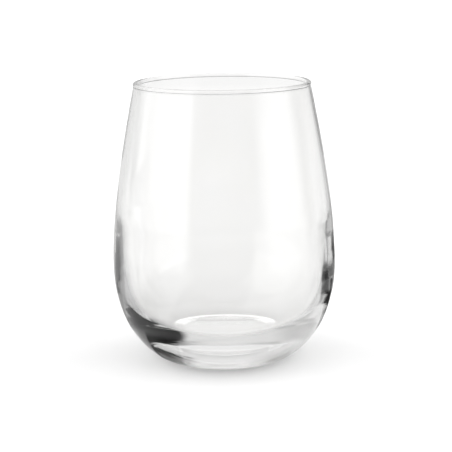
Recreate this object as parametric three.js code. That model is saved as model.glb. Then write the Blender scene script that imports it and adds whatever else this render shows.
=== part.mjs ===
// A stemless water glass, blown in one piece from clear soda-lime glass.
// It is a solid of revolution about Z: a flat standing ring round a shallow hollow, a rounded heel,
// a full belly low down, a wall that thins as it draws in to the mouth, and a fire-polished lip.
// Millimetres, +Z up, origin on the table at the middle of the foot.

import * as THREE from "three";

// Driving dimensions of the outside
const HEIGHT = 110;
const FOOT_RADIUS = 21.7;
const BELLY_RADIUS = 44;
const BELLY_HEIGHT = 39;
const RIM_RADIUS = 34.8;

// How far each curve of the outside runs straight on from its end before it turns
const HEEL_REACH = 5.5;
const BELLY_REACH_DOWN = 28.5;
const BELLY_REACH_UP = 25.5;
const RIM_REACH = 6.5;
const RIM_LEAN_DEGREES = 10;

// Thickness of the glass: between the widest rings outside and inside, at the neck, and under the middle of the bowl
const BELLY_WALL = 2.8;
const RIM_WALL = 1.45;
const BASE_THICKNESS = 8.5;

// The inside of the bowl: a broad floor that rounds up, widest above the belly, so that the wall thins upwards
const INSIDE_BELLY_RISE = 17;
const FLOOR_REACH = 36;
const INSIDE_REACH_DOWN = 37.5;
const INSIDE_REACH_UP = 10;

// The fire-polished lip, a bead a little thicker than the wall that runs into it
const LIP_THICKNESS = 1.7;
const LIP_SWELL_HEIGHT = 2.5;

// The shallow hollow under the foot, and the flat ring left round it to stand on
const STANDING_RING_WIDTH = 3.4;
const HOLLOW_DEPTH = 0.4;

// Facets round the glass and steps along each stretch of its outline
const FACETS = 64;
const HOLLOW_STEPS = 3;
const LOWER_STEPS = 12;
const UPPER_STEPS = 8;
const SWELL_STEPS = 2;
const LIP_STEPS = 3;

// Points closer than this are one point, where one stretch of the outline runs into the next
const SAME_POINT = 1e-6;

const point = (radius, height) => new THREE.Vector2(radius, height);

// Directions at the lip: up along the leaning wall, and square to it on the outside
const lean = THREE.MathUtils.degToRad(RIM_LEAN_DEGREES);
const wallUp = point(-Math.sin(lean), Math.cos(lean));
const wallOut = point(Math.cos(lean), Math.sin(lean));

const lipRadius = LIP_THICKNESS / 2;
const lipCentre = point(RIM_RADIUS - lipRadius, HEIGHT - lipRadius);
const neckCentre = lipCentre.clone().addScaledVector(wallUp, -LIP_SWELL_HEIGHT);

// A curve that leaves its start along one direction and comes into its end along another
function easedCurve(start, leaving, leaveReach, end, arriving, arriveReach) {
  const first = start.clone().addScaledVector(leaving, leaveReach);
  const second = end.clone().addScaledVector(arriving, -arriveReach);
  return new THREE.CubicBezierCurve(start, first, second, end);
}

// A quarter of the round lip, between two angles about its centre
function lipArc(from, to) {
  return new THREE.EllipseCurve(lipCentre.x, lipCentre.y, lipRadius, lipRadius, from, to);
}

const OUT = point(1, 0);
const UP = point(0, 1);

// The lower bowl, the upper bowl and the swell of the lip, outside and inside
function outsideCurves() {
  const foot = point(FOOT_RADIUS, 0);
  const belly = point(BELLY_RADIUS, BELLY_HEIGHT);
  const neck = neckCentre.clone().addScaledVector(wallOut, RIM_WALL / 2);
  const lip = lipCentre.clone().addScaledVector(wallOut, lipRadius);
  return {
    lower: easedCurve(foot, OUT, HEEL_REACH, belly, UP, BELLY_REACH_DOWN),
    upper: easedCurve(belly, UP, BELLY_REACH_UP, neck, wallUp, RIM_REACH),
    swell: easedCurve(neck, wallUp, LIP_SWELL_HEIGHT / 2, lip, wallUp, LIP_SWELL_HEIGHT / 2),
  };
}

function insideCurves() {
  const floor = point(0, BASE_THICKNESS);
  const belly = point(BELLY_RADIUS - BELLY_WALL, BELLY_HEIGHT + INSIDE_BELLY_RISE);
  const neck = neckCentre.clone().addScaledVector(wallOut, -RIM_WALL / 2);
  const lip = lipCentre.clone().addScaledVector(wallOut, -lipRadius);
  return {
    lower: easedCurve(floor, OUT, FLOOR_REACH, belly, UP, INSIDE_REACH_DOWN),
    upper: easedCurve(belly, UP, INSIDE_REACH_UP, neck, wallUp, RIM_REACH),
    swell: easedCurve(neck, wallUp, LIP_SWELL_HEIGHT / 2, lip, wallUp, LIP_SWELL_HEIGHT / 2),
  };
}

// The hollow under the foot: a shallow dome from the axis to the standing ring
function hollowCurve() {
  const top = point(0, HOLLOW_DEPTH);
  const shoulder = point((FOOT_RADIUS - STANDING_RING_WIDTH) / 2, HOLLOW_DEPTH);
  const edge = point(FOOT_RADIUS - STANDING_RING_WIDTH, 0);
  return new THREE.QuadraticBezierCurve(top, shoulder, edge);
}

// The whole outline, from the axis under the foot, up the outside, over the lip and down the inside
function outline() {
  const outside = outsideCurves();
  const inside = insideCurves();
  const quarter = Math.PI / 2;
  const up = [
    hollowCurve().getPoints(HOLLOW_STEPS),
    outside.lower.getPoints(LOWER_STEPS),
    outside.upper.getPoints(UPPER_STEPS),
    outside.swell.getPoints(SWELL_STEPS),
    lipArc(lean, quarter).getPoints(LIP_STEPS),
  ];
  const down = [
    lipArc(quarter, Math.PI + lean).getPoints(LIP_STEPS),
    inside.swell.getPoints(SWELL_STEPS).reverse(),
    inside.upper.getPoints(UPPER_STEPS).reverse(),
    inside.lower.getPoints(LOWER_STEPS).reverse(),
  ];
  const all = [...up, ...down].flat();
  return all.filter((p, i) => i === 0 || p.distanceTo(all[i - 1]) > SAME_POINT);
}

const clearGlass = new THREE.MeshStandardMaterial({
  name: "clear_glass",
  color: 0xf3f6f5,
  roughness: 0.02,
  metalness: 0,
  transparent: true,
  opacity: 0.35,
});

// The lathe turns its outline about Y, so the mesh is tipped to stand on Z
const tumbler = new THREE.Mesh(new THREE.LatheGeometry(outline(), FACETS), clearGlass);
tumbler.name = "tumbler";
tumbler.rotation.x = Math.PI / 2;

const waterGlass = new THREE.Group();
waterGlass.name = "water_glass";
waterGlass.add(tumbler);

export default waterGlass;
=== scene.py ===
"""A stemless water glass in clear soda-lime glass, on a pale table in plain soft studio light.

The glass is one continuous melt. Half of its outline is drawn point by point: from the hollow under the
foot, up the outside, over the fire-polished lip and down to the floor of the bowl. It is then spun into a
closed body. Sizes are in millimetres where a class says so, and all that reaches Blender is in metres.
"""

import logging
import math
from dataclasses import dataclass, field
from enum import Enum, IntEnum

import bpy
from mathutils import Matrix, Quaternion, Vector
from mathutils.geometry import interpolate_bezier


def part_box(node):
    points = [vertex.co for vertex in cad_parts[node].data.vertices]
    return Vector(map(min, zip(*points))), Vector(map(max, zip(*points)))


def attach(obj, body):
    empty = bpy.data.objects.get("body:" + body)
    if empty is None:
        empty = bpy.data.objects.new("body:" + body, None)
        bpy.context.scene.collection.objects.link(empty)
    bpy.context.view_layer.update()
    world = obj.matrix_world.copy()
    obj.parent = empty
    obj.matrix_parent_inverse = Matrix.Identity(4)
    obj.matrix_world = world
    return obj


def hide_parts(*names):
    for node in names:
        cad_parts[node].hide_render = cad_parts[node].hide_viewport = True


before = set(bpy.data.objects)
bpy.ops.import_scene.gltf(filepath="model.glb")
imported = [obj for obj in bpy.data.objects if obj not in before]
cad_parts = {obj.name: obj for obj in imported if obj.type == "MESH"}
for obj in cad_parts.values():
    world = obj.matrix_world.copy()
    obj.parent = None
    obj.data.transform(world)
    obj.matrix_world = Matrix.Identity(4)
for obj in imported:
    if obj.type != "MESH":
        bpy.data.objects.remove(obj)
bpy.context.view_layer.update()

log = logging.getLogger("water_glass")

Tree = bpy.types.NodeTree
Node = bpy.types.Node
Socket = bpy.types.NodeSocket
Sockets = bpy.types.bpy_prop_collection
Colour = tuple[float, float, float, float]

MM = 0.001
FULL_TURN = 2.0 * math.pi
WHITE: Colour = (1.0, 1.0, 1.0, 1.0)

# The outline lies in the plane of these two, and the third is square to it.
OUTWARD = Vector((1.0, 0.0, 0.0))
UPWARD = Vector((0.0, 0.0, 1.0))
SQUARE_TO_OUTLINE = Vector((0.0, 1.0, 0.0))

# A camera rolls about this axis of its own frame.
ROLL_AXIS = Vector((0.0, 0.0, 1.0))

# A direction times this lies level.
FLATTEN = (1.0, 1.0, 0.0)

# A curve that bends towards one point has both of its handles this far along the way there.
HANDLE_SHARE = 2.0 / 3.0


class Face(Enum):
    """The two faces of the glass wall; the value is the side of the wall's middle that a face lies on."""

    OUTSIDE = 1.0
    INSIDE = -1.0


class Turns(IntEnum):
    """From how many turns inside the glass light counts as turned once, turned often, and so on.

    The wall carries some light round and round: it is guided, then guided further, and in the end spent.
    """

    ONCE = 1
    OFTEN = 2
    GUIDED = 19
    FURTHER = 21
    SPENT = 24


def deselect_everything() -> None:
    """Leaves nothing selected, so that the next operator acts on its own new shape alone."""
    bpy.ops.object.select_all(action="DESELECT")


def feed(tree: Tree, target: Socket, value: object) -> None:
    """Gives a socket its value: a link if the value is another socket, and else a constant.

    Args:
        tree: The node tree of the socket.
        target: The socket.
        value: The other socket or the constant.
    """
    if isinstance(value, Socket):
        tree.links.new(value, target)
    else:
        target.default_value = value


def feed_in_order(tree: Tree, node: Node, values: tuple[object, ...]) -> None:
    """Feeds a node's inputs in their order, from the first one on."""
    for socket, value in zip(node.inputs, values):
        feed(tree, socket, value)


def add_node(tree: Tree, kind: str, name: str, **inputs: object) -> Node:
    """Adds a named node and sets or links its inputs.

    Args:
        tree: The node tree that gets the node.
        kind: Blender's name for the kind of node.
        name: The plain name that the node carries.
        inputs: Values or sockets, each under its input's name with underscores for spaces.

    Returns:
        The new node.
    """
    node = tree.nodes.new(kind)
    node.name = name
    node.label = name
    for key, value in inputs.items():
        feed(tree, node.inputs[key.replace("_", " ")], value)
    return node


def math_node(tree: Tree, operation: str, name: str, *values: float | Socket) -> Socket:
    """Adds a Math node.

    Args:
        tree: The node tree that gets the node.
        operation: Blender's name for the sum that the node does.
        name: The plain name that the node carries.
        values: The numbers or sockets that it works on.

    Returns:
        The socket of its result.
    """
    node = add_node(tree, "ShaderNodeMath", name)
    node.operation = operation
    feed_in_order(tree, node, values)
    return node.outputs["Value"]


def vector_node(tree: Tree, operation: str, name: str, *values: tuple[float, ...] | Socket) -> Node:
    """Adds a Vector Math node.

    Args:
        tree: The node tree that gets the node.
        operation: Blender's name for the sum that the node does.
        name: The plain name that the node carries.
        values: The vectors or sockets that it works on.

    Returns:
        The node, with its result under Vector or Value.
    """
    node = add_node(tree, "ShaderNodeVectorMath", name)
    node.operation = operation
    feed_in_order(tree, node, values)
    return node


def at_least(tree: Tree, name: str, count: Socket, least: int) -> Socket:
    """Adds a test of a whole count, halfway between the number that passes and the one below it.

    Args:
        tree: The node tree that gets the node.
        name: The plain name that the node carries.
        count: The socket of the count.
        least: The lowest count that passes.

    Returns:
        The socket of the test, 1 where the count passes and 0 where it doesn't.
    """
    return math_node(tree, "GREATER_THAN", name, count, least - 0.5)


def soft_step(tree: Tree, name: str, value: Socket, low: float, high: float) -> Socket:
    """Adds a smooth step from 0 to 1.

    Args:
        tree: The node tree that gets the node.
        name: The plain name that the node carries.
        value: The socket that is stepped.
        low: The value at which the step leaves 0.
        high: The value at which it reaches 1.

    Returns:
        The socket of the step.
    """
    node = add_node(tree, "ShaderNodeMapRange", name, Value=value)
    node.interpolation_type = "SMOOTHSTEP"
    node.inputs["From Min"].default_value = low
    node.inputs["From Max"].default_value = high
    return node.outputs["Result"]


def mix_levels(tree: Tree, name: str, share: Socket, first: float | Socket, second: float | Socket) -> Socket:
    """Adds a Mix node for two levels.

    Args:
        tree: The node tree that gets the node.
        name: The plain name that the node carries.
        share: The socket of the second level's share.
        first: The level at a share of 0.
        second: The level at a share of 1.

    Returns:
        The socket of the mixed level.
    """
    return add_node(tree, "ShaderNodeMix", name, Factor=share, A=first, B=second).outputs["Result"]


def mix_colours(tree: Tree, name: str, share: Socket, first: Colour, second: Colour) -> Socket:
    """Adds a Mix node for two colours.

    Args:
        tree: The node tree that gets the node.
        name: The plain name that the node carries.
        share: The socket of the second colour's share.
        first: The colour at a share of 0.
        second: The colour at a share of 1.

    Returns:
        The socket of the mixed colour.
    """
    node = add_node(tree, "ShaderNodeMix", name, Factor=share)
    node.data_type = "RGBA"
    node.inputs["A"].default_value = first
    node.inputs["B"].default_value = second
    return node.outputs["Result"]


def mix_shaders(tree: Tree, name: str, share: Socket, first: Socket, second: Socket) -> Socket:
    """Adds a Mix Shader node.

    Args:
        tree: The material's node tree.
        name: The plain name that the node carries.
        share: The socket of the second shader's share.
        first: The socket of the first shader.
        second: The socket of the second shader.

    Returns:
        The socket of the mixed shader.
    """
    node = add_node(tree, "ShaderNodeMixShader", name)
    feed_in_order(tree, node, (share, first, second))
    return node.outputs["Shader"]


def flow_group() -> Tree:
    """Builds the effect that glass and table share: a soft, drawn-out mottle.

    Returns:
        The node group, with a scale, a stretch along Z and a detail as inputs and the mottle as its output.
    """
    tree = bpy.data.node_groups.new("soft_flow", "ShaderNodeTree")
    for name in ("Scale", "Stretch", "Detail"):
        tree.interface.new_socket(name, in_out="INPUT", socket_type="NodeSocketFloat")
    tree.interface.new_socket("Flow", in_out="OUTPUT", socket_type="NodeSocketFloat")
    entry = tree.nodes.new("NodeGroupInput")
    leave = tree.nodes.new("NodeGroupOutput")
    place = add_node(tree, "ShaderNodeTexCoord", "place").outputs["Object"]
    stretch = add_node(tree, "ShaderNodeCombineXYZ", "stretch", X=1.0, Y=1.0, Z=entry.outputs["Stretch"])
    drawn = vector_node(tree, "MULTIPLY", "drawn out along Z", place, stretch.outputs["Vector"])
    mottle = add_node(
        tree,
        "ShaderNodeTexNoise",
        "mottle",
        Vector=drawn.outputs["Vector"],
        Scale=entry.outputs["Scale"],
        Detail=entry.outputs["Detail"],
    )
    feed(tree, leave.inputs["Flow"], mottle.outputs["Fac"])
    return tree


def add_flow(tree: Tree, group: Tree, name: str, scale: float, stretch: float, detail: float) -> Socket:
    """Places the shared mottle in a material.

    Args:
        tree: The material's node tree.
        group: The shared node group.
        name: The plain name that the node carries.
        scale: Blotches to the metre.
        stretch: Below 1, how much the mottle is drawn out along Z.
        detail: How many finer octaves it has.

    Returns:
        The socket of the mottle, about 0.5 with soft swings either way.
    """
    node = tree.nodes.new("ShaderNodeGroup")
    node.name = name
    node.node_tree = group
    node.inputs["Scale"].default_value = scale
    node.inputs["Stretch"].default_value = stretch
    node.inputs["Detail"].default_value = detail
    return node.outputs["Flow"]


@dataclass(frozen=True)
class GlassSizes:
    """Driving sizes of the glass in millimetres; a reach is how far a curve runs on before it turns."""

    height: float
    belly_radius: float
    foot_radius: float = 21.7
    belly_height: float = 39.0
    rim_radius: float = 34.8
    heel_reach: float = 5.5
    belly_reach_down: float = 28.5
    belly_reach_up: float = 25.5
    rim_reach: float = 6.5
    rim_lean_degrees: float = 10.0
    belly_wall: float = 2.8
    rim_wall: float = 1.2
    base_thickness: float = 8.5
    inside_belly_rise: float = 17.0
    floor_reach: float = 36.0
    inside_reach_down: float = 37.5
    inside_reach_up: float = 10.0
    lip_thickness: float = 1.8
    lip_swell_height: float = 0.9
    standing_ring_width: float = 3.4
    hollow_depth: float = 0.4


@dataclass(frozen=True)
class ClearGlass:
    """Fire-polished soda-lime glass: clear, faintly wavy, with a breath of grey in its thick parts."""

    name: str = "clear_glass"
    refraction: float = 1.52
    clearest: Colour = WHITE
    cloudiest: Colour = (0.99, 0.988, 0.978, 1.0)
    haze: float = 0.012
    scuff: float = 0.1
    scuff_height: float = 0.15 * MM
    wave_scale: float = 55.0
    wave_stretch: float = 0.35
    wave_detail: float = 1.0
    wave_depth: float = 0.03 * MM
    cloud_scale: float = 110.0
    cloud_detail: float = 2.0
    body_colour: Colour = (0.75, 0.75, 0.74, 1.0)
    body_density: float = 3.0

    def material(self, flow: Tree) -> bpy.types.Material:
        """Makes the material.

        Args:
            flow: The shared soft mottle.

        Returns:
            The new material.
        """
        material = bpy.data.materials.new(self.name)
        material.use_nodes = True
        tree = material.node_tree
        tree.nodes.clear()
        waves = add_flow(tree, flow, "drawing waves", self.wave_scale, self.wave_stretch, self.wave_detail)
        cloud = add_flow(tree, flow, "faint cloud", self.cloud_scale, self.wave_stretch, self.cloud_detail)
        bump = add_node(
            tree, "ShaderNodeBump", "wavy surface", Strength=1.0, Distance=self.wave_depth, Height=waves
        )
        shader = add_node(
            tree,
            "ShaderNodeBsdfPrincipled",
            "glass",
            Base_Color=mix_colours(tree, "clear to cloudy", cloud, self.clearest, self.cloudiest),
            Roughness=self.roughness(tree, cloud),
            IOR=self.refraction,
            Transmission_Weight=1.0,
            Normal=bump.outputs["Normal"],
        )
        body = add_node(
            tree,
            "ShaderNodeVolumeAbsorption",
            "body of the glass",
            Color=self.body_colour,
            Density=self.body_density,
        )
        add_node(
            tree,
            "ShaderNodeOutputMaterial",
            "output",
            Surface=shader.outputs["BSDF"],
            Volume=body.outputs["Volume"],
        )
        return material

    def roughness(self, tree: Tree, cloud: Socket) -> Socket:
        """Wires the roughness: polished glass with a little haze, and scuffs on the ring that it stands on.

        Args:
            tree: The material's node tree.
            cloud: The mottle that the haze follows.

        Returns:
            The socket of the roughness.
        """
        place = add_node(tree, "ShaderNodeTexCoord", "place")
        split = add_node(tree, "ShaderNodeSeparateXYZ", "height", Vector=place.outputs["Object"])
        lifted = soft_step(tree, "clear of the table", split.outputs["Z"], 0.0, self.scuff_height)
        standing = math_node(tree, "SUBTRACT", "on the table", 1.0, lifted)
        scuffs = math_node(tree, "MULTIPLY", "scuffs", standing, self.scuff)
        haze = math_node(tree, "MULTIPLY", "haze", cloud, self.haze)
        return math_node(tree, "ADD", "haze and scuffs", haze, scuffs)


@dataclass
class Tumbler:
    """The whole glass, from the hollow under its foot to its fire-polished lip."""

    sizes: GlassSizes
    finish: ClearGlass
    node: str = "tumbler"
    facets: int = 192
    bend_steps: int = 48
    swell_steps: int = 8
    lip_steps: int = 12
    hollow_steps: int = 12
    weld: float = 0.001 * MM

    @staticmethod
    def at(radius: float, height: float) -> Vector:
        """Gives a point of the outline, in metres, from millimetres."""
        return Vector((radius, 0.0, height)) * MM

    @staticmethod
    def bend(start: Vector, leaving: Vector, end: Vector, arriving: Vector, steps: int) -> list[Vector]:
        """Draws a curve that leaves one point one way and comes into another point another way.

        Args:
            start: The first point.
            leaving: How far, and which way, the curve runs straight on from it.
            end: The last point.
            arriving: How far, and which way, the curve comes straight into it.
            steps: How many steps the curve is drawn in.

        Returns:
            The points, both ends included.
        """
        return interpolate_bezier(start, start + leaving, end - arriving, end, steps + 1)

    def wall_up(self) -> Vector:
        """Gives the direction of the wall at the lip, where it leans inwards."""
        lean = math.radians(self.sizes.rim_lean_degrees)
        return Vector((-math.sin(lean), 0.0, math.cos(lean)))

    def wall_out(self) -> Vector:
        """Gives the direction square to the wall at the lip, on the outside."""
        up = self.wall_up()
        return Vector((up.z, 0.0, -up.x))

    def lip_centre(self) -> Vector:
        """Gives the middle of the round lip."""
        radius = self.sizes.lip_thickness / 2.0
        return self.at(self.sizes.rim_radius - radius, self.sizes.height - radius)

    def hollow(self) -> list[Vector]:
        """Draws the shallow dome under the foot, from the axis to the standing ring.

        Returns:
            The points, both ends included.
        """
        edge = self.sizes.foot_radius - self.sizes.standing_ring_width
        top = self.at(0.0, self.sizes.hollow_depth)
        shoulder = self.at(edge / 2.0, self.sizes.hollow_depth)
        rim = self.at(edge, 0.0)
        leave = (shoulder - top) * HANDLE_SHARE
        arrive = (rim - shoulder) * HANDLE_SHARE
        return self.bend(top, leave, rim, arrive, self.hollow_steps)

    def wall(self, face: Face) -> list[Vector]:
        """Draws one face of the wall, from its lowest point to the lip.

        Args:
            face: The outside or the inside of the glass.

        Returns:
            The points, from the foot or the floor of the bowl upwards.
        """
        sizes = self.sizes
        if face is Face.OUTSIDE:
            low = self.at(sizes.foot_radius, 0.0)
            leave = OUTWARD * sizes.heel_reach * MM
            belly = self.at(sizes.belly_radius, sizes.belly_height)
            into_belly = UPWARD * sizes.belly_reach_down * MM
            from_belly = UPWARD * sizes.belly_reach_up * MM
        else:
            low = self.at(0.0, sizes.base_thickness)
            leave = OUTWARD * sizes.floor_reach * MM
            inside_height = sizes.belly_height + sizes.inside_belly_rise
            belly = self.at(sizes.belly_radius - sizes.belly_wall, inside_height)
            into_belly = UPWARD * sizes.inside_reach_down * MM
            from_belly = UPWARD * sizes.inside_reach_up * MM
        up = self.wall_up()
        swell = up * sizes.lip_swell_height * MM
        side = self.wall_out() * face.value * MM / 2.0
        neck = self.lip_centre() - swell + side * sizes.rim_wall
        lip = self.lip_centre() + side * sizes.lip_thickness
        lower = self.bend(low, leave, belly, into_belly, self.bend_steps)
        upper = self.bend(belly, from_belly, neck, up * sizes.rim_reach * MM, self.bend_steps)
        bead = self.bend(neck, swell / 2.0, lip, swell / 2.0, self.swell_steps)
        return lower + upper[1:] + bead[1:]

    def lip(self) -> list[Vector]:
        """Draws the round of the lip, from the outside over the top to the inside.

        Returns:
            The points between the upper ends of the two faces.
        """
        out = self.wall_out() * self.sizes.lip_thickness * MM / 2.0
        turn = -math.pi / self.lip_steps
        spokes = [Quaternion(SQUARE_TO_OUTLINE, turn * step) @ out for step in range(1, self.lip_steps)]
        return [self.lip_centre() + spoke for spoke in spokes]

    def outline(self) -> list[Vector]:
        """Draws half of the closed outline, from the axis under the foot round to the axis in the bowl."""
        inside = list(reversed(self.wall(Face.INSIDE)))
        return self.hollow() + self.wall(Face.OUTSIDE) + self.lip() + inside

    def model(self) -> bpy.types.Object:
        """Extrudes a point along the outline, spins it round and welds it into one closed body.

        Returns:
            The new piece.
        """
        outline = self.outline()
        deselect_everything()
        bpy.ops.mesh.primitive_plane_add(size=self.sizes.foot_radius * MM)
        piece = bpy.context.object
        piece.name = "tumbler_glass"
        bpy.ops.object.mode_set(mode="EDIT")
        bpy.ops.mesh.merge(type="CENTER")
        bpy.ops.transform.translate(value=outline[0])
        for here, there in zip(outline, outline[1:]):
            bpy.ops.mesh.extrude_vertices_move(TRANSFORM_OT_translate={"value": there - here})
        bpy.ops.mesh.select_all(action="SELECT")
        bpy.ops.mesh.spin(steps=self.facets, angle=FULL_TURN, center=(0.0, 0.0, 0.0), axis=UPWARD)
        bpy.ops.mesh.select_all(action="SELECT")
        bpy.ops.mesh.remove_doubles(threshold=self.weld)
        bpy.ops.mesh.normals_make_consistent(inside=False)
        bpy.ops.object.mode_set(mode="OBJECT")
        bpy.ops.object.shade_smooth()
        return piece

    def build(self, flow: Tree) -> bpy.types.Object:
        """Models the glass, dresses it and sets it on the part's body.

        Args:
            flow: The shared soft mottle.

        Returns:
            The finished piece.
        """
        piece = self.model()
        piece.data.materials.clear()
        piece.data.materials.append(self.finish.material(flow))
        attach(piece, "root")
        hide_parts(self.node)
        return piece


@dataclass(frozen=True)
class Zone:
    """A soft-edged stretch of the studio, from the table up, by compass about the glass, in degrees.

    A bearing of 0 is straight behind the glass, 90 is to its right and 180 is behind the camera. Half is
    half of the stretch's width, blur is how wide its soft sides are, and fade is how high its soft top is.
    A zone of the table alone keeps the plain height and fade, which clear the table.
    """

    name: str
    level: float
    bearing: float
    half: float
    blur: float
    height: float = 20.0
    fade: float = 10.0

    def mask(self, tree: Tree, compass: Socket, lift: Socket) -> Socket:
        """Wires the soft window of the zone.

        Args:
            tree: The node tree that gets it.
            compass: The socket of the level direction.
            lift: The socket of the direction's height.

        Returns:
            The socket of the mask, 1 inside the zone and 0 outside.
        """
        bearing = math.radians(self.bearing)
        middle = (math.sin(bearing), math.cos(bearing), 0.0)
        facing = vector_node(tree, "DOT_PRODUCT", self.name + " facing", compass, middle)
        wide = math.cos(math.radians(self.half + self.blur / 2.0))
        narrow = math.cos(math.radians(self.half - self.blur / 2.0))
        across = soft_step(tree, self.name + " across", facing.outputs["Value"], wide, narrow)
        head_low = math.sin(math.radians(self.height - self.fade / 2.0))
        head_high = math.sin(math.radians(self.height + self.fade / 2.0))
        above = soft_step(tree, self.name + " above", lift, head_low, head_high)
        below = math_node(tree, "SUBTRACT", self.name + " below", 1.0, above)
        return math_node(tree, "MULTIPLY", self.name + " window", across, below)


@dataclass(frozen=True)
class Surround:
    """What light of one sort meets: a plain level, another level overhead, and zones laid over both.

    The level overhead sets in between two heights, in degrees.
    """

    name: str
    level: float
    overhead: float
    zones: tuple[Zone, ...]
    overhead_from: float = 50.0
    overhead_full: float = 75.0

    def wire(self, tree: Tree, compass: Socket, lift: Socket) -> Socket:
        """Wires the level that a direction gives.

        Args:
            tree: The node tree that gets it.
            compass: The socket of the level direction.
            lift: The socket of the direction's height.

        Returns:
            The socket of the level.
        """
        low = math.sin(math.radians(self.overhead_from))
        high = math.sin(math.radians(self.overhead_full))
        top = soft_step(tree, self.name + " top", lift, low, high)
        rise = self.overhead - self.level
        light = math_node(tree, "MULTIPLY_ADD", self.name + " all round", top, rise, self.level)
        for zone in self.zones:
            mask = zone.mask(tree, compass, lift)
            light = mix_levels(tree, zone.name, mask, light, zone.level)
        return light


@dataclass(frozen=True)
class Ring:
    """A soft-edged ring of the table about the foot, by the millimetres at which it sets in and fades."""

    name: str
    starts: float
    full: float
    fades: float
    gone: float

    def mask(self, tree: Tree, radius: Socket) -> Socket:
        """Wires the mask of the ring.

        Args:
            tree: The node tree that gets it.
            radius: The socket of the distance from the middle of the foot.

        Returns:
            The socket of the mask, 1 on the ring and 0 off it.
        """
        past_inner = soft_step(tree, self.name + " inner edge", radius, self.starts * MM, self.full * MM)
        past_outer = soft_step(tree, self.name + " outer edge", radius, self.fades * MM, self.gone * MM)
        return math_node(tree, "SUBTRACT", self.name, past_inner, past_outer)


@dataclass(frozen=True)
class PaintedDarkPatch:
    """A painted dark patch of the table that only the glass mirrors: the part of a ring that lies in a zone.

    The zone's level is the share of the dark.
    """

    name: str
    ring: Ring
    zone: Zone

    def surround(self) -> Surround:
        """Gives the share of the dark by compass alone."""
        return Surround(self.name, level=0.0, overhead=0.0, zones=(self.zone,))

    def share(self, tree: Tree, radius: Socket, levels: Sockets) -> Socket:
        """Wires the share of the painted dark at each place on the table.

        Args:
            tree: The table's node tree.
            radius: The socket of the distance from the middle of the foot.
            levels: The outputs of the shared effect, one of which is the patch's share by compass.

        Returns:
            The socket of the share.
        """
        return math_node(tree, "MULTIPLY", self.name, self.ring.mask(tree, radius), levels[self.name])


@dataclass(frozen=True)
class LightSort:
    """Sockets that sort light by its path; each is 1 or 0."""

    turned: Socket
    often: Socket
    guided: Socket
    further: Socket
    spent: Socket
    through: Socket
    lights: Socket

    @classmethod
    def wire(cls, tree: Tree) -> "LightSort":
        """Wires the sorting into the node tree of the world or of the table.

        Args:
            tree: The node tree.

        Returns:
            The sockets: turned by the glass, turned more than once, guided round in the wall, guided further,
            spent in the wall, come through the glass, and lighting the table.
        """
        path = add_node(tree, "ShaderNodeLightPath", "path of the light").outputs
        turns = path["Glossy Depth"]
        return cls(
            turned=at_least(tree, "was turned", turns, Turns.ONCE),
            often=at_least(tree, "was turned often", turns, Turns.OFTEN),
            guided=at_least(tree, "was guided by the wall", turns, Turns.GUIDED),
            further=at_least(tree, "was guided further", turns, Turns.FURTHER),
            spent=at_least(tree, "was spent in the wall", turns, Turns.SPENT),
            through=at_least(tree, "came through the glass", path["Transmission Depth"], 1),
            lights=at_least(tree, "lights the table", path["Diffuse Depth"], 1),
        )


# Light that the wall guides meets the same dark here, however far it is guided.
LEFT_OF_CAMERA = Zone("left of the camera", 0.15, bearing=-164.0, half=17.0, blur=8.0, height=80.0, fade=8.0)


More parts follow.
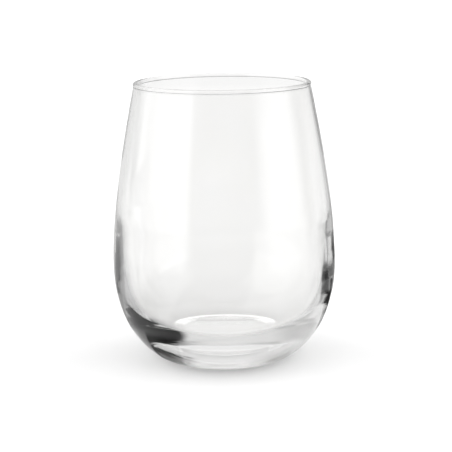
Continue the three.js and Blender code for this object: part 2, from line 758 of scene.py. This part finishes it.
@dataclass
class Studio:
    """Plain soft light from all round, with dark sides and two pale windows that only the glass mirrors.

    What is seen directly is plain and pale, and so is the backdrop through the glass, but for some grey
    overhead and on the left. The walls turn light once: they show the windows as upright bands and, near
    their edges, the dark patches that are painted on the table as painted reflections. The thick base turns
    light often and gathers the dark right side.
    Light that the wall guides round and round darkens the edges of the glass further.
    """

    plain: float = 1.02
    dome: Surround = Surround(
        "dome",
        level=0.95,
        overhead=0.95,
        zones=(
            Zone("light from the left", 2.06, bearing=-90.0, half=45.0, blur=40.0, height=62.0, fade=30.0),
            Zone("light from the right", 2.22, bearing=90.0, half=45.0, blur=40.0, height=62.0, fade=30.0),
        ),
    )
    backdrop: Surround = Surround(
        "backdrop through the glass",
        level=1.02,
        overhead=0.6,
        zones=(
            Zone("backdrop to the left", 0.85, bearing=-97.0, half=90.0, blur=5.0, height=80.0, fade=10.0),
        ),
        overhead_from=13.0,
        overhead_full=20.0,
    )
    # From these radii on, the table shows turned light a painted reflection: the near table, then the wide
    # table, and then the room.
    table_from: float = 45.0 * MM
    table_full: float = 55.0 * MM
    near_from: float = 104.0 * MM
    near_full: float = 116.0 * MM
    room_from: float = 230.0 * MM
    room_full: float = 360.0 * MM
    by_wall: Surround = Surround(
        "turned once",
        level=0.01,
        overhead=0.0,
        zones=(
            Zone("back", 0.81, bearing=-23.0, half=45.0, blur=9.0, height=50.0, fade=20.0),
            Zone("left window", 1.13, bearing=-104.0, half=38.0, blur=10.0, height=70.0, fade=29.0),
            Zone("right window", 1.16, bearing=111.0, half=24.0, blur=20.0, height=13.0, fade=4.0),
            Zone("low right back", 1.16, bearing=52.0, half=21.0, blur=26.0, height=3.0, fade=17.0),
        ),
        overhead_from=18.0,
        overhead_full=30.0,
    )
    # Painted shade: a dark patch of the table beside the foot that stands in for the shadow under the bowl,
    # which only the bowl mirrors.
    painted_foot_shade: PaintedDarkPatch = PaintedDarkPatch(
        "dark by the foot",
        Ring("ring by the foot", starts=24.0, full=27.0, fades=43.0, gone=52.0),
        Zone("left of the foot", 0.85, bearing=-122.0, half=20.0, blur=5.0),
    )
    # Painted reflections: dark patches further out on the table, which only the glass mirrors as dark lines.
    patches: tuple[PaintedDarkPatch, ...] = (
        PaintedDarkPatch(
            "dark on the right",
            Ring("ring further out", starts=140.0, full=148.0, fades=190.0, gone=200.0),
            Zone("right of the glass", 0.92, bearing=54.0, half=13.0, blur=5.0),
        ),
        PaintedDarkPatch(
            "dark nearer in",
            Ring("ring nearer in", starts=102.0, full=106.0, fades=140.0, gone=148.0),
            Zone("right and further back", 0.88, bearing=45.0, half=5.5, blur=3.0),
        ),
        PaintedDarkPatch(
            "dark behind",
            Ring("ring behind", starts=195.0, full=205.0, fades=325.0, gone=345.0),
            Zone("right of straight behind", 0.85, bearing=33.5, half=5.5, blur=4.0),
        ),
    )
    # Levels of the painted reflection that the table shows to light turned once, near the foot and further
    # out.
    by_near: Surround = Surround(
        "turned once to the near table",
        level=0.67,
        overhead=0.67,
        zones=(
            Zone("near in front", 0.57, bearing=-127.0, half=41.0, blur=20.0),
            Zone("near behind", 1.12, bearing=17.0, half=30.0, blur=6.0),
            Zone("near left of behind", 0.57, bearing=-22.0, half=10.0, blur=6.0),
            Zone("near right corner", 0.03, bearing=54.0, half=14.0, blur=6.0),
            Zone("near left corner", 0.40, bearing=-51.0, half=8.0, blur=8.0),
        ),
    )
    by_table: Surround = Surround(
        "turned once to the table",
        level=0.67,
        overhead=0.67,
        zones=(
            Zone("table in front", 0.35, bearing=-165.0, half=50.0, blur=30.0),
            Zone("table behind", 1.12, bearing=10.0, half=18.0, blur=6.0),
            Zone("table right of behind", 0.38, bearing=36.0, half=8.0, blur=10.0),
            Zone("table on the right", 0.45, bearing=62.0, half=8.0, blur=8.0),
            Zone("table right corner", 0.82, bearing=50.0, half=6.0, blur=6.0),
            Zone("table left corner", 0.40, bearing=-48.0, half=8.0, blur=8.0),
        ),
    )
    by_base: Surround = Surround(
        "turned often",
        level=0.79,
        overhead=1.07,
        zones=(
            Zone("right side", 0.0, bearing=102.0, half=73.0, blur=9.0, height=60.0, fade=8.0),
            Zone("behind the camera", 0.02, bearing=-157.0, half=52.0, blur=6.0, height=24.0, fade=5.0),
            Zone("left side", 0.92, bearing=-112.0, half=18.0, blur=34.0, height=79.0, fade=5.0),
            Zone("far back", 0.76, bearing=-17.0, half=38.0, blur=20.0, height=65.0, fade=6.0),
            Zone("right corner", 0.30, bearing=149.0, half=27.0, blur=3.0, height=26.0, fade=4.0),
            Zone("left of the back", 0.57, bearing=-66.0, half=19.0, blur=33.0, height=77.0, fade=14.0),
        ),
    )
    by_guide: Surround = Surround(
        "guided by the wall",
        level=0.75,
        overhead=0.75,
        zones=(
            Zone("right of the camera", 0.03, bearing=158.0, half=22.0, blur=8.0, height=17.0, fade=6.0),
            LEFT_OF_CAMERA,
        ),
    )
    by_further: Surround = Surround(
        "guided further",
        level=0.75,
        overhead=0.75,
        zones=(
            Zone("far right of the camera", 0.03, bearing=145.0, half=9.0, blur=8.0, height=80.0, fade=8.0),
            LEFT_OF_CAMERA,
        ),
    )
    by_spent: Surround = Surround(
        "spent in the wall",
        level=0.5,
        overhead=0.5,
        zones=(
            Zone("spent to the right", 0.12, bearing=125.0, half=60.0, blur=10.0, height=66.0, fade=4.0),
            Zone("spent low on the right", 0.5, bearing=125.0, half=70.0, blur=10.0, height=28.0, fade=8.0),
            Zone("spent left of the back", 0.12, bearing=-42.0, half=30.0, blur=20.0, height=60.0, fade=10.0),
            Zone("spent low on the left", 0.28, bearing=-147.0, half=16.0, blur=10.0, height=24.0, fade=8.0),
        ),
    )

    def turned_light(self) -> Tree:
        """Builds the effect that the world and the table share: the level that each direction gives.

        Returns:
            The node group, with a direction as its input and a level for each surround as its outputs.
        """
        tree = bpy.data.node_groups.new("turned_light", "ShaderNodeTree")
        tree.interface.new_socket("Direction", in_out="INPUT", socket_type="NodeSocketVector")
        entry = tree.nodes.new("NodeGroupInput")
        leave = tree.nodes.new("NodeGroupOutput")
        direction = entry.outputs["Direction"]
        split = add_node(tree, "ShaderNodeSeparateXYZ", "split", Vector=direction)
        flat = vector_node(tree, "MULTIPLY", "along the horizon", direction, FLATTEN)
        compass = vector_node(tree, "NORMALIZE", "compass", flat.outputs["Vector"])
        dark = [patch.surround() for patch in (self.painted_foot_shade, *self.patches)]
        once = (self.by_wall, *dark, self.by_near, self.by_table)
        often = (self.by_base, self.by_guide, self.by_further, self.by_spent)
        for surround in (self.dome, self.backdrop, *once, *often):
            tree.interface.new_socket(surround.name, in_out="OUTPUT", socket_type="NodeSocketFloat")
            level = surround.wire(tree, compass.outputs["Vector"], split.outputs["Z"])
            feed(tree, leave.inputs[surround.name], level)
        return tree

    @staticmethod
    def place(tree: Tree, group: Tree, direction: Socket) -> Sockets:
        """Places the shared effect in a node tree.

        Args:
            tree: The node tree of the world or of the table.
            group: The shared effect.
            direction: The socket of the direction.

        Returns:
            The outputs of its node, one for each surround.
        """
        turned = tree.nodes.new("ShaderNodeGroup")
        turned.node_tree = group
        turned.name = "turned light"
        feed(tree, turned.inputs["Direction"], direction)
        return turned.outputs

    def by_turns(self, tree: Tree, sort: LightSort, once: Socket, levels: Sockets) -> Socket:
        """Picks a level by how often the glass has turned the light.

        Args:
            tree: The node tree of the world or of the table.
            sort: The sorted light.
            once: The socket of the level for light that was turned once.
            levels: The outputs of the shared effect.

        Returns:
            The socket of the level.
        """
        often = mix_levels(tree, "once or often", sort.often, once, levels[self.by_base.name])
        guided = mix_levels(tree, "often or guided", sort.guided, often, levels[self.by_guide.name])
        further = mix_levels(tree, "guided or further", sort.further, guided, levels[self.by_further.name])
        return mix_levels(tree, "further or spent", sort.spent, further, levels[self.by_spent.name])

    def build(self, group: Tree) -> bpy.types.World:
        """Wires the light into the world.

        Args:
            group: The effect that the world shares with the table.

        Returns:
            The new world.
        """
        world = bpy.data.worlds.new("studio")
        bpy.context.scene.world = world
        world.use_nodes = True
        # The world looks different to light of each sort, so it isn't sampled as one lamp.
        world.cycles.sampling_method = "NONE"
        tree = world.node_tree
        tree.nodes.clear()
        direction = add_node(tree, "ShaderNodeTexCoord", "direction").outputs["Generated"]
        sort = LightSort.wire(tree)
        levels = self.place(tree, group, direction)
        room = self.by_turns(tree, sort, levels[self.by_wall.name], levels)
        plain = mix_levels(tree, "direct or through", sort.through, self.plain, levels[self.backdrop.name])
        seen = mix_levels(tree, "plain or turned", sort.turned, plain, room)
        light = mix_levels(tree, "seen or dome", sort.lights, seen, levels[self.dome.name])
        background = add_node(tree, "ShaderNodeBackground", "studio", Color=WHITE, Strength=light)
        add_node(tree, "ShaderNodeOutputWorld", "output", Surface=background.outputs["Background"])
        return world


@dataclass(frozen=True)
class PaleAcrylic:
    """Milky acrylic of a table top: pale, dull and faintly mottled, with painted light and shade that only
    the glass shows.
    """

    name: str = "pale_acrylic"
    pale: Colour = (0.87, 0.87, 0.87, 1.0)
    paler: Colour = (0.88, 0.88, 0.88, 1.0)
    mottle_scale: float = 9.0
    mottle_stretch: float = 1.0
    mottle_detail: float = 2.0
    # Level of the painted dark: painted shade beside the foot and painted reflections on the table, seen only
    # in the glass.
    dark: float = 0.03
    # Levels of the painted light that the glass shows by place, and the lengths at which one place goes over
    # into the next.
    painted_glow: float = 0.94
    painted_glow_share: float = 0.6
    painted_glow_in_hollow: float = 0.92
    painted_glow_under_ring: float = 0.85
    # Painted highlight: under the back of the standing ring, the table shows brighter through the glass.
    painted_highlight_behind_ring: float = 1.35
    # Painted shade: close to the foot, the table shows darker through the glass.
    painted_shade_close_by: float = 0.86
    close_from: float = 60.0 * MM
    close_full: float = 110.0 * MM
    painted_glow_far: float = 0.82
    far_from: float = 880.0 * MM
    far_full: float = 1000.0 * MM
    ring_inner: float = 18.3 * MM
    ring_outer: float = 24.0 * MM
    ring_soft: float = 0.6 * MM
    behind_from: float = -4.0 * MM
    behind_full: float = 8.0 * MM

    def material(self, flow: Tree, studio: Studio, group: Tree) -> bpy.types.Material:
        """Makes the material.

        Args:
            flow: The shared soft mottle.
            studio: The light, which says how far the table reaches for light that the glass has turned.
            group: The effect that the table shares with the world.

        Returns:
            The new material.
        """
        material = bpy.data.materials.new(self.name)
        material.use_nodes = True
        tree = material.node_tree
        tree.nodes.clear()
        mottle = add_flow(
            tree, flow, "milky mottle", self.mottle_scale, self.mottle_stretch, self.mottle_detail
        )
        tone = mix_colours(tree, "pale to paler", mottle, self.pale, self.paler)
        dull = add_node(tree, "ShaderNodeBsdfDiffuse", "dull face", Color=tone)
        place = add_node(tree, "ShaderNodeTexCoord", "place").outputs["Object"]
        radius = vector_node(tree, "LENGTH", "radius", place).outputs["Value"]
        sort = LightSort.wire(tree)
        looked = math_node(tree, "SUBTRACT", "only looked at", 1.0, sort.lights)
        # Painted light: seen through the glass, the table is partly an emission, with a painted highlight and
        # painted shade.
        painted_glow, share = self.painted_light_by_place(tree, place, radius)
        through = math_node(tree, "MULTIPLY", "looked at through the glass", sort.through, looked)
        painted_glow_share = math_node(tree, "MULTIPLY", "share of the glow", through, share)
        table = mix_shaders(tree, "dull face and glow", painted_glow_share, dull.outputs["BSDF"], painted_glow)
        levels = studio.place(tree, group, place)
        foot_shade_share = studio.painted_foot_shade.share(tree, radius, levels)
        shaded = self.painted_shade_by_foot(tree, sort, looked, foot_shade_share, table)
        # Painted reflection: beyond the near edge, light turned by the glass sees an emission in place of the
        # table.
        room = self.painted_reflection_by_radius(tree, radius, studio, levels, sort)
        beyond = soft_step(tree, "beyond the table", radius, studio.table_from, studio.table_full)
        turned = math_node(tree, "MULTIPLY", "looked at by turned light", sort.turned, looked)
        room_share = math_node(tree, "MULTIPLY", "room in place of table", beyond, turned)
        both = mix_shaders(tree, "table or room", room_share, shaded, room)
        add_node(tree, "ShaderNodeOutputMaterial", "output", Surface=both)
        return material

    def painted_light_by_place(self, tree: Tree, place: Socket, radius: Socket) -> tuple[Socket, Socket]:
        """Wires the painted light that the table shows through the glass: an emission, brightest under the
        back of the standing ring.

        Args:
            tree: The material's node tree.
            place: The socket of the place on the table.
            radius: The socket of the distance from the middle of the foot.

        Returns:
            The socket of the glow and the socket of its share in the look of the table.
        """
        soft = self.ring_soft
        on_ring = soft_step(tree, "on the ring", radius, self.ring_inner - soft, self.ring_inner + soft)
        off_foot = soft_step(tree, "off the foot", radius, self.ring_outer - soft, self.ring_outer + soft)
        split = add_node(tree, "ShaderNodeSeparateXYZ", "front to back", Vector=place)
        behind = soft_step(tree, "behind", split.outputs["Y"], self.behind_from, self.behind_full)
        ring = mix_levels(tree, "front or back of the ring", behind, self.painted_glow_under_ring, self.painted_highlight_behind_ring)
        under = mix_levels(tree, "hollow or ring", on_ring, self.painted_glow_in_hollow, ring)
        far_off = soft_step(tree, "far off", radius, self.far_from, self.far_full)
        away = soft_step(tree, "away from the foot", radius, self.close_from, self.close_full)
        close_by = mix_levels(tree, "close by or away", away, self.painted_shade_close_by, self.painted_glow)
        around = mix_levels(tree, "near or far off", far_off, close_by, self.painted_glow_far)
        level = mix_levels(tree, "under the foot or off it", off_foot, under, around)
        share = mix_levels(tree, "share by radius", off_foot, 1.0, self.painted_glow_share)
        # Painted light: an emission that only light come through the glass sees, not a lamp.
        painted_glow = add_node(tree, "ShaderNodeEmission", "glow from below", Strength=level)
        return painted_glow.outputs["Emission"], share

    def painted_shade_by_foot(
        self, tree: Tree, sort: LightSort, looked: Socket, share: Socket, table: Socket
    ) -> Socket:
        """Wires the painted shade beside the foot: a dark emission that only the underside of the bowl
        mirrors.

        Args:
            tree: The material's node tree.
            sort: The sorted light.
            looked: The socket of whether the table is only looked at.
            share: The socket of the dark's share at each place.
            table: The socket of the table's shader.

        Returns:
            The socket of the shader.
        """
        once = math_node(tree, "SUBTRACT", "turned only once", sort.turned, sort.often)
        mirrored = math_node(tree, "MULTIPLY", "mirrored by the bowl", once, looked)
        dark_share = math_node(tree, "MULTIPLY", "share of the dark", mirrored, share)
        # Painted shade: a dark emission in place of the shadowed table under the bowl.
        dark = add_node(tree, "ShaderNodeEmission", "dark", Strength=self.dark)
        return mix_shaders(tree, "table or dark", dark_share, table, dark.outputs["Emission"])

    def painted_reflection_by_radius(
        self, tree: Tree, radius: Socket, studio: Studio, levels: Sockets, sort: LightSort
    ) -> Socket:
        """Wires the painted reflection that turned light meets on the table: its dim surface, and further out
        the room beyond it, as an emission.

        Args:
            tree: The material's node tree.
            radius: The socket of the distance from the middle of the foot.
            studio: The light.
            levels: The outputs of the shared effect.
            sort: The sorted light.

        Returns:
            The socket of the shader.
        """
        wide = soft_step(tree, "past the near table", radius, studio.near_from, studio.near_full)
        far = soft_step(tree, "far out", radius, studio.room_from, studio.room_full)
        near = levels[studio.by_near.name]
        table = mix_levels(tree, "near or wide", wide, near, levels[studio.by_table.name])
        for patch in studio.patches:
            share = patch.share(tree, radius, levels)
            table = mix_levels(tree, "table or " + patch.name, share, table, self.dark)
        once = mix_levels(tree, "table or wall", far, table, levels[studio.by_wall.name])
        level = studio.by_turns(tree, sort, once, levels)
        # Painted reflection: an emission that only light turned by the glass sees.
        room = add_node(tree, "ShaderNodeEmission", "room", Strength=level)
        return room.outputs["Emission"]


@dataclass
class Table:
    """The plain pale table that the glass stands on; it is no part of the object."""

    finish: PaleAcrylic
    studio: Studio
    size: float = 12.0
    clearance: float = 0.1 * MM

    def build(self, flow: Tree, group: Tree) -> bpy.types.Object:
        """Lays the table a hair below the foot, so that the two faces don't lie in one plane.

        Args:
            flow: The shared soft mottle.
            group: The effect that the table shares with the world.

        Returns:
            The table.
        """
        deselect_everything()
        bpy.ops.mesh.primitive_plane_add(size=self.size, location=(0.0, 0.0, -self.clearance))
        table = bpy.context.object
        table.name = "floor"
        table.data.materials.append(self.finish.material(flow, self.studio, group))
        return table


@dataclass
class PhotoCamera:
    """The camera at the photograph's place, with its eye and aim in metres and its field in pixels."""

    eye: Vector = field(default_factory=lambda: Vector((0.0, -0.600, 0.170)))
    aim: Vector = field(default_factory=lambda: Vector((0.00085, 0.0, 0.05246)))
    frame_pixels: float = 452.0
    focal_pixels: float = 1542.0
    roll_degrees: float = -0.73

    def build(self) -> bpy.types.Object:
        """Sets up the camera and makes it the scene's own.

        Returns:
            The camera.
        """
        deselect_everything()
        bpy.ops.object.camera_add(location=self.eye)
        camera = bpy.context.object
        camera.name = "photo_camera"
        look = (self.aim - self.eye).to_track_quat("-Z", "Y")
        roll = Quaternion(ROLL_AXIS, math.radians(self.roll_degrees))
        camera.rotation_mode = "QUATERNION"
        camera.rotation_quaternion = look @ roll
        camera.data.lens = camera.data.sensor_width * self.focal_pixels / self.frame_pixels
        bpy.context.scene.camera = camera
        return camera


@dataclass(frozen=True)
class RenderCare:
    """What clear glass asks of the renderer: enough bounces for light to find its way out of the base."""

    bounces: int = 200

    def apply(self) -> None:
        """Sets the bounces, a clean picture and a plain view of the colours."""
        scene = bpy.context.scene
        scene.cycles.max_bounces = self.bounces
        scene.cycles.transmission_bounces = self.bounces
        scene.cycles.glossy_bounces = self.bounces
        scene.cycles.use_denoising = True
        scene.view_settings.view_transform = "Standard"


def main() -> None:
    """Builds the camera, the glass, the table and the light, and reports each piece."""
    logging.basicConfig(level=logging.INFO, format="%(name)s: %(message)s")
    PhotoCamera().build()
    flow = flow_group()
    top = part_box("tumbler")[1]
    sizes = GlassSizes(height=top.z / MM, belly_radius=top.x / MM)
    glass = Tumbler(sizes, ClearGlass()).build(flow)
    log.info("%s: %d faces", glass.name, len(glass.data.polygons))
    studio = Studio()
    turned = studio.turned_light()
    table = Table(PaleAcrylic(), studio).build(flow, turned)
    log.info("%s laid", table.name)
    world = studio.build(turned)
    log.info("%s lit", world.name)
    RenderCare().apply()


if __name__ == "__main__":
    main()
